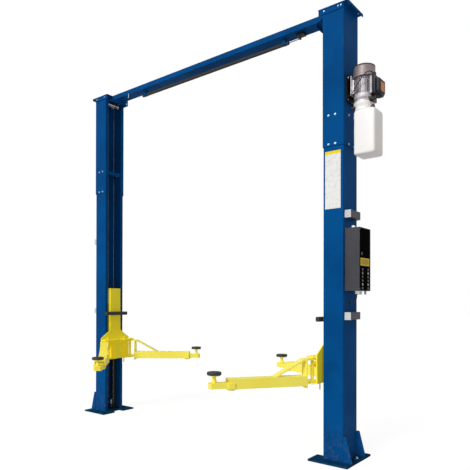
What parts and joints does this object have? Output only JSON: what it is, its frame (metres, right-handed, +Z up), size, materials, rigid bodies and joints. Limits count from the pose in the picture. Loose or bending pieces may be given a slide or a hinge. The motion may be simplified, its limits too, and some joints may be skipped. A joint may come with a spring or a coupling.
{
  "type": "two post car lift",
  "caption": "Two open-front posts joined by an overhead beam, with sliding carriages, swinging telescopic arms, rubber pads, a hydraulic power unit and a control box.",
  "frame": {"origin": "on the floor, midway between the two posts", "axes": "+X along the overhead beam towards the post with the power unit, +Y from the lift's front to its rear, +Z up"},
  "size_m": [3.5583, 1.6106, 3.7],
  "materials": {
    "blue_paint": "gloss enamel",
    "yellow_paint": "gloss enamel",
    "black_paint": "satin enamel",
    "polished_steel": "ground",
    "steel_rope": "greased wire rope",
    "chain_steel": "oiled leaf chain",
    "cable_rubber": "cable sheath",
    "button_plastic": "moulded",
    "nylon": "machined nylon",
    "black_rubber": "moulded rubber",
    "grey_plastic": "moulded",
    "white_plastic": "blow moulded",
    "cast_aluminium": "die cast",
    "black_plastic": "moulded"
  },
  "bodies": {
    "frame": {"near_base_plate": "blue_paint", "near_post": "blue_paint", "near_extension": "blue_paint", "far_base_plate": "blue_paint", "far_post": "blue_paint", "far_extension": "blue_paint", "base_gussets": "blue_paint", "head_plates": "blue_paint", "post_caps": "blue_paint", "beam_brackets": "blue_paint", "beam": "blue_paint", "ram_barrels": "black_paint", "floor_chains": "chain_steel", "cable_wheels": "polished_steel", "level_rope": "steel_rope", "lock_covers": "grey_plastic", "safety_bar": "black_rubber", "safety_bar_brackets": "blue_paint", "safety_switch": "black_plastic", "oil_tank": "white_plastic", "pump_block": "cast_aluminium", "motor": "cast_aluminium", "fan_cover": "cast_aluminium", "motor_bracket": "cast_aluminium", "terminal_box": "black_plastic", "cable_glands": "black_plastic", "motor_cable": "cable_rubber", "control_cable": "cable_rubber", "control_box": "black_paint", "control_buttons": "button_plastic"},
    "near_carriage": {"near_carriage": "yellow_paint", "near_carriage_chain": "chain_steel", "near_arm_pins": "yellow_paint", "near_guide_blocks": "nylon", "near_door_guard": "black_rubber"},
    "near_ram": {"near_ram_rod": "polished_steel", "near_wheel_chain": "chain_steel"},
    "far_carriage": {"far_carriage": "yellow_paint", "far_carriage_chain": "chain_steel", "far_arm_pins": "yellow_paint", "far_guide_blocks": "nylon", "far_door_guard": "black_rubber"},
    "far_ram": {"far_ram_rod": "polished_steel", "far_wheel_chain": "chain_steel"},
    "near_front_arm": {"near_front_arm": "yellow_paint"},
    "near_front_extension": {"near_front_arm_extension": "yellow_paint"},
    "near_front_pad": {"near_front_pad_screw": "yellow_paint", "near_front_pad": "black_rubber"},
    "near_rear_arm": {"near_rear_arm": "yellow_paint"},
    "near_rear_extension": {"near_rear_arm_extension": "yellow_paint"},
    "near_rear_pad": {"near_rear_pad_screw": "yellow_paint", "near_rear_pad": "black_rubber"},
    "far_front_arm": {"far_front_arm": "yellow_paint"},
    "far_front_extension": {"far_front_arm_extension": "yellow_paint"},
    "far_front_pad": {"far_front_pad_screw": "yellow_paint", "far_front_pad": "black_rubber"},
    "far_rear_arm": {"far_rear_arm": "yellow_paint"},
    "far_rear_extension": {"far_rear_arm_extension": "yellow_paint"},
    "far_rear_pad": {"far_rear_pad_screw": "yellow_paint", "far_rear_pad": "black_rubber"}
  },
  "joints": [
    {"name": "near_lift", "type": "slide", "parent": "frame", "child": "near_carriage", "axis": [0, 0, 1], "range_m": [-0.54, 1.24]},
    {"name": "near_ram_slide", "type": "slide", "parent": "frame", "child": "near_ram", "axis": [0, 0, 1], "range_m": [-0.27, 0.62]},
    {"name": "far_lift", "type": "slide", "parent": "frame", "child": "far_carriage", "axis": [0, 0, 1], "range_m": [-0.54, 1.24]},
    {"name": "far_ram_slide", "type": "slide", "parent": "frame", "child": "far_ram", "axis": [0, 0, 1], "range_m": [-0.27, 0.62]},
    {"name": "near_front_swing", "type": "hinge", "parent": "near_carriage", "child": "near_front_arm", "pos_m": [1.35, -0.182, 0.74], "axis": [0, 0, 1], "range_deg": [-51.5, 33.5]},
    {"name": "near_front_reach", "type": "slide", "parent": "near_front_arm", "child": "near_front_extension", "axis": [-0.5948, -0.8039, 0], "range_m": [-0.032, 0.376]},
    {"name": "near_front_pad_height", "type": "slide", "parent": "near_front_extension", "child": "near_front_pad", "axis": [0, 0, 1], "range_m": [-0.016, 0.03]},
    {"name": "near_rear_swing", "type": "hinge", "parent": "near_carriage", "child": "near_rear_arm", "pos_m": [1.35, 0.182, 0.74], "axis": [0, 0, -1], "range_deg": [-25, 60]},
    {"name": "near_rear_reach", "type": "slide", "parent": "near_rear_arm", "child": "near_rear_extension", "axis": [-0.891, 0.454, 0], "range_m": [-0.101, 0.307]},
    {"name": "near_rear_pad_height", "type": "slide", "parent": "near_rear_extension", "child": "near_rear_pad", "axis": [0, 0, 1], "range_m": [-0.016, 0.03]},
    {"name": "far_front_swing", "type": "hinge", "parent": "far_carriage", "child": "far_front_arm", "pos_m": [-1.35, -0.182, 0.74], "axis": [0, 0, -1], "range_deg": [-40, 45]},
    {"name": "far_front_reach", "type": "slide", "parent": "far_front_arm", "child": "far_front_extension", "axis": [0.7431, -0.6691, 0], "range_m": [-0.094, 0.314]},
    {"name": "far_front_pad_height", "type": "slide", "parent": "far_front_extension", "child": "far_front_pad", "axis": [0, 0, 1], "range_m": [-0.016, 0.03]},
    {"name": "far_rear_swing", "type": "hinge", "parent": "far_carriage", "child": "far_rear_arm", "pos_m": [-1.35, 0.182, 0.74], "axis": [0, 0, 1], "range_deg": [-34, 51]},
    {"name": "far_rear_reach", "type": "slide", "parent": "far_rear_arm", "child": "far_rear_extension", "axis": [0.809, 0.5878, 0], "range_m": [-0.008, 0.4]},
    {"name": "far_rear_pad_height", "type": "slide", "parent": "far_rear_extension", "child": "far_rear_pad", "axis": [0, 0, 1], "range_m": [-0.016, 0.03]}
  ],
  "couplings": [
    {"joint": "far_lift", "follows": "near_lift", "ratio": 1},
    {"joint": "near_ram_slide", "follows": "near_lift", "ratio": 0.5},
    {"joint": "far_ram_slide", "follows": "near_lift", "ratio": 0.5}
  ]
}
